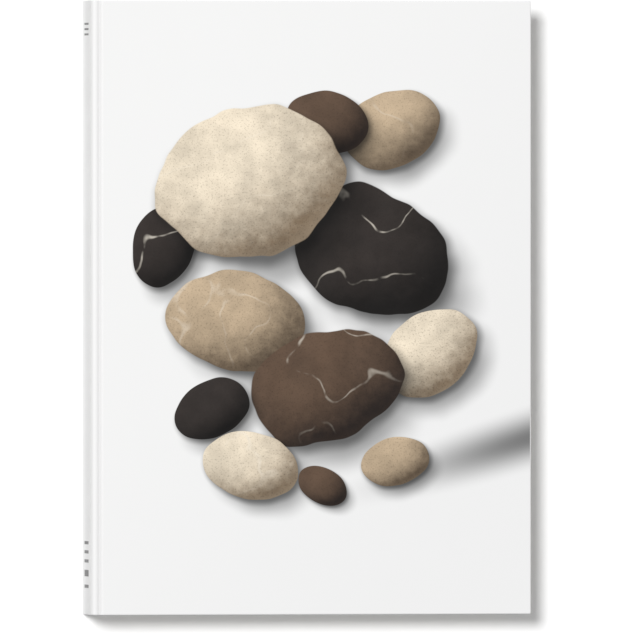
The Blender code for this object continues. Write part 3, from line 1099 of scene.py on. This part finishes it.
def chain_tree():
    """Chain of thread loops, one from each section's fold to the next."""
    w, given = geometry_tree("sewn_chain", {
        "Start": "Vector", "Pitch": "Float", "Links": "Int", "Width": "Float", "Thread": "Float",
        "Yarn": "Material",
    })
    spots = w.made("GeometryNodeMeshLine", {
        "Count": given["Links"], "Start Location": given["Start"],
        "Offset": w.combine(0.0, 0.0, given["Pitch"]),
    })
    loop = w.made("GeometryNodeCurvePrimitiveCircle", {"Resolution": 14, "Radius": 1.0})
    stretch = w.combine(
        w.times(given["Pitch"], LINK_REACH),
        w.minus(w.times(given["Width"], 0.5), given["Thread"]), 1.0
    )
    loop = w.made("GeometryNodeTransform", {
        "Geometry": loop, "Rotation": (0.0, math.radians(LINK_LEAN), 0.0), "Scale": stretch
    })
    link = thread_along(w, loop, given["Thread"])
    links = w.made("GeometryNodeInstanceOnPoints", {"Points": spots, "Instance": link})
    return end_tree(w, with_material(w, links, given["Yarn"]))


class BOOK_OT_sewing(bpy.types.Operator):
    """Sew the chains of thread that link the sections across their folds"""

    bl_idname = "book.sewing"
    bl_label = "Sewing"

    def execute(self, context):
        trim = sizes_of("book_trim")
        tree = chain_tree()
        yarn = thread_finish("sewing_thread_finish", trim.thread, 0.35)
        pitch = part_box(SECTIONS[1])[0].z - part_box(SECTIONS[0])[0].z
        for node in sorted(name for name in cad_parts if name.startswith("sewing_thread_")):
            low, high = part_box(node)
            obj = run_tree(node + "_chain", tree, {
                "Start": Vector(((low.x + high.x) / 2, (low.y + high.y) / 2, low.z + pitch / 2)),
                "Pitch": pitch, "Links": len(SECTIONS) - 1, "Width": high.y - low.y,
                "Thread": trim.link_thread * MM, "Yarn": yarn,
            })
            obj.data.shade_smooth()
            remember_place(obj)
            put_on_spine(obj, node)
        return {"FINISHED"}


# Stage

FRAME_PIXELS = 640
FLOOR_HALF = 7.0  # metres
TOWARDS_LIGHT = (-0.397, 0.236, 1)


def make_floor(colour):
    corners = [(x * FLOOR_HALF, y * FLOOR_HALF, 0) for x, y in ((-1, -1), (1, -1), (1, 1), (-1, 1))]
    mesh = bpy.data.meshes.new("floor")
    mesh.from_pydata(corners, [], [(0, 1, 2, 3)])
    obj = new_object("floor", mesh)
    f = Finish("floor_finish")
    grain = f.noise(f.place, 0.02, 2.0)
    shade = f.scaled(colour, f.ramp(grain, 0, 1, 0.995, 1.0))
    f.set(Base_Color=shade, Roughness=0.9, Specular_IOR_Level=0.1)
    mesh.materials.append(f.material)


def make_lights(stage):
    """Soft key light from the upper left of the picture, in even pale surroundings."""
    lamp = bpy.data.lights.new("key", "SUN")
    lamp.energy = stage.sun
    lamp.angle = stage.sun_size
    key = new_object("key", lamp)
    key.rotation_mode = "QUATERNION"
    key.rotation_quaternion = Vector(TOWARDS_LIGHT).to_track_quat("Z", "Y")
    world = bpy.data.worlds.new("studio")
    world.use_nodes = True
    ground = world.node_tree.nodes["Background"]
    ground.inputs["Color"].default_value = (1, 1, 1, 1)
    ground.inputs["Strength"].default_value = stage.fill
    bpy.context.scene.world = world


def make_camera(stage):
    """Camera that shows the front cover's middle at its pixel of the photograph's frame."""
    back = Vector((-math.tan(stage.tilt_across), math.tan(stage.tilt_along), 1)).normalized()
    up = (Vector((0, 1, 0)) - back * back.y).normalized()
    right = up.cross(back)
    pixel = MM / stage.pixels_per_mm
    aim = Vector((0, 0, THICK_MM * MM))
    aim -= right * (stage.cover_column - FRAME_PIXELS / 2) * pixel
    aim += up * (stage.cover_row - FRAME_PIXELS / 2) * pixel
    data = bpy.data.cameras.new("camera")
    data.sensor_width = 36
    data.lens = data.sensor_width * stage.distance / (FRAME_PIXELS * pixel)
    data.clip_start, data.clip_end = 0.1, 100
    camera = new_object("camera", data)
    camera.location = aim + back * stage.distance
    camera.rotation_mode = "QUATERNION"
    camera.rotation_quaternion = Matrix((right, up, back)).transposed().to_quaternion()
    bpy.context.scene.camera = camera


class BOOK_OT_stage(bpy.types.Operator):
    """Set the pale floor, the soft light and the camera"""

    bl_idname = "book.stage"
    bl_label = "Stage"

    def execute(self, context):
        stage = sizes_of("book_stage")
        make_floor(stage.floor)
        make_lights(stage)
        make_camera(stage)
        context.scene.view_settings.view_transform = "Standard"
        return {"FINISHED"}


STEPS = (
    BOOK_OT_case_sheet, BOOK_OT_sections, BOOK_OT_flat_parts,
    BOOK_OT_bands, BOOK_OT_sewing, BOOK_OT_stage,
)


class BOOK_PT_looks(bpy.types.Panel):
    bl_label = "Hardcover Book"
    bl_idname = "BOOK_PT_looks"
    bl_space_type = "VIEW_3D"
    bl_region_type = "UI"
    bl_category = "Book"

    def draw(self, context):
        column = self.layout.column()
        for step in STEPS:
            column.operator(step.bl_idname)
        for name, group in GROUPS.items():
            for label in group.__annotations__:
                column.prop(getattr(context.scene, name), label)


CLASSES = (*GROUPS.values(), *STEPS, BOOK_PT_looks)


def register():
    for kind in CLASSES:
        bpy.utils.register_class(kind)
    for name, group in GROUPS.items():
        setattr(bpy.types.Scene, name, PointerProperty(type=group))


def unregister():
    for name in GROUPS:
        delattr(bpy.types.Scene, name)
    for kind in reversed(CLASSES):
        bpy.utils.unregister_class(kind)


def main():
    register()
    for step in STEPS:
        group, action = step.bl_idname.split(".")
        getattr(getattr(bpy.ops, group), action)()


if __name__ == "__main__":
    main()
